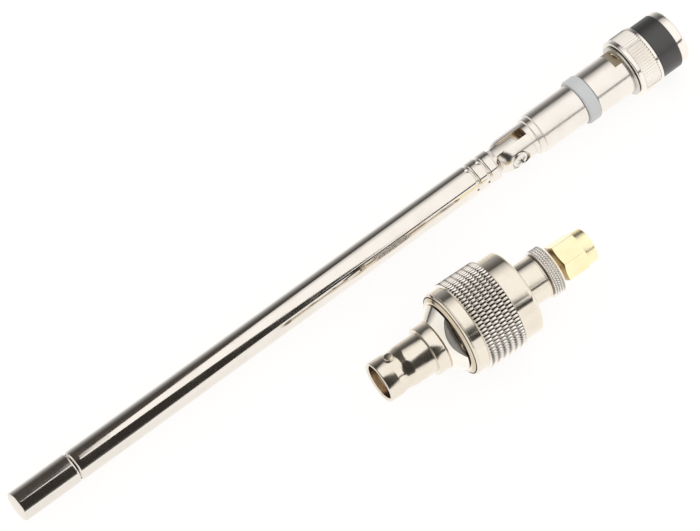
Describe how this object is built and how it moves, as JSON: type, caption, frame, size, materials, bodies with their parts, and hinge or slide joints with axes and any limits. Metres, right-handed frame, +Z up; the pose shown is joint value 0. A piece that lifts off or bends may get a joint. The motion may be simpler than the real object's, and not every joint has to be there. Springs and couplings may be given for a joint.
{
  "type": "telescopic whip aerial with coaxial adapter",
  "caption": "Closed telescopic whip aerial with a folding elbow and a quarter-turn bayonet plug, beside its screw-coupled coaxial adapter from bayonet jack to small threaded plug.",
  "frame": {"origin": "centre of the whip plug's mating end, where its slotted outer contact sleeve ends", "axes": "+X along the closed whip from its tip to its plug and out of the mating end; +Z up, square to the surface that both pieces lie on; +Y away from the adapter"},
  "size_m": [0.1783, 0.0451, 0.0212],
  "materials": {
    "nickel": "bright nickel plate",
    "gold_plate": "bright gold plate",
    "bronze": "plain sprung bronze",
    "spring_steel": "satin",
    "grey_plastic": "moulded, matt",
    "black_plastic": "moulded, satin",
    "white_plastic": "turned, smooth",
    "rubber": "matt",
    "red_rubber": "matt"
  },
  "bodies": {
    "plug": {"elbow_fork": "nickel", "hinge_screw": "spring_steel", "insulator_ring": "grey_plastic", "plug_shell": "nickel", "feed_stud": "bronze", "plug_insulator": "white_plastic", "plug_pin": "gold_plate", "contact_sleeve": "nickel", "plug_gasket": "rubber", "wave_washer": "spring_steel", "retaining_clip": "spring_steel"},
    "thrust": {"thrust_washer": "spring_steel"},
    "coupling_nut": {"knurled_ring": "nickel", "bayonet_sleeve": "nickel", "grip_ring": "black_plastic"},
    "mast": {"mast_tube_1": "nickel", "elbow_tongue": "nickel"},
    "section_2": {"mast_tube_2": "nickel", "bush_2": "bronze"},
    "section_3": {"mast_tube_3": "nickel", "bush_3": "bronze"},
    "section_4": {"mast_tube_4": "nickel", "bush_4": "bronze"},
    "section_5": {"mast_tube_5": "nickel", "bush_5": "bronze"},
    "section_6": {"mast_rod": "nickel", "bush_6": "bronze", "tip_cap": "nickel"},
    "adapter": {"jack_body": "nickel", "jack_insulator": "white_plastic", "jack_contact": "gold_plate", "ring_insulator": "white_plastic", "ring_pin": "gold_plate", "ring_sleeve": "nickel", "ring_gasket": "rubber", "ring_clip": "spring_steel"},
    "large_nut": {"ring_nut": "nickel", "ring_knurl": "nickel"},
    "neck": {"neck_body": "nickel", "neck_insulator": "white_plastic", "neck_contact": "gold_plate", "fine_ring": "nickel", "gold_ferrule": "gold_plate", "gold_insulator": "white_plastic", "gold_pin": "gold_plate", "gold_gasket": "red_rubber", "gold_clip": "spring_steel"},
    "small_nut": {"gold_nut": "gold_plate"}
  },
  "joints": [
    {"name": "elbow_fold", "type": "hinge", "parent": "plug", "child": "mast", "pos_m": [-0.0448, 0, 0], "axis": [0, 0.9703, -0.2419], "range_deg": [0, 90]},
    {"name": "section_2_slide", "type": "slide", "parent": "mast", "child": "section_2", "axis": [-1, 0, 0], "range_m": [0, 0.0955]},
    {"name": "section_3_slide", "type": "slide", "parent": "section_2", "child": "section_3", "axis": [-1, 0, 0], "range_m": [0, 0.094]},
    {"name": "section_4_slide", "type": "slide", "parent": "section_3", "child": "section_4", "axis": [-1, 0, 0], "range_m": [0, 0.0925]},
    {"name": "section_5_slide", "type": "slide", "parent": "section_4", "child": "section_5", "axis": [-1, 0, 0], "range_m": [0, 0.091]},
    {"name": "section_6_slide", "type": "slide", "parent": "section_5", "child": "section_6", "axis": [-1, 0, 0], "range_m": [0, 0.0895]},
    {"name": "nut_pull", "type": "slide", "parent": "plug", "child": "thrust", "axis": [1, 0, 0], "range_m": [0, 0.0008], "stiffness_N_per_m": 2000, "springref_m": -0.0005},
    {"name": "nut_turn", "type": "hinge", "parent": "thrust", "child": "coupling_nut", "pos_m": [0, 0, 0], "axis": [1, 0, 0], "continuous": true},
    {"name": "adapter_lift", "type": "slide", "parent": "plug", "child": "adapter", "axis": [0, 0, 1], "range_m": [0, 0.06]},
    {"name": "large_nut_turn", "type": "hinge", "parent": "adapter", "child": "large_nut", "pos_m": [-0.1022, -0.0262, 0.0036], "axis": [-0.999, 0.0436, 0], "range_deg": [0, 2160]},
    {"name": "neck_unscrew", "type": "slide", "parent": "adapter", "child": "neck", "axis": [0.999, -0.0436, 0], "range_m": [0, 0.00635]},
    {"name": "small_nut_turn", "type": "hinge", "parent": "neck", "child": "small_nut", "pos_m": [-0.05225, -0.02838, 0.0036], "axis": [0.999, -0.0436, 0], "continuous": true}
  ],
  "couplings": [
    {"joint": "large_nut_turn", "follows": "neck_unscrew", "rad_per_m": 5936.9}
  ]
}
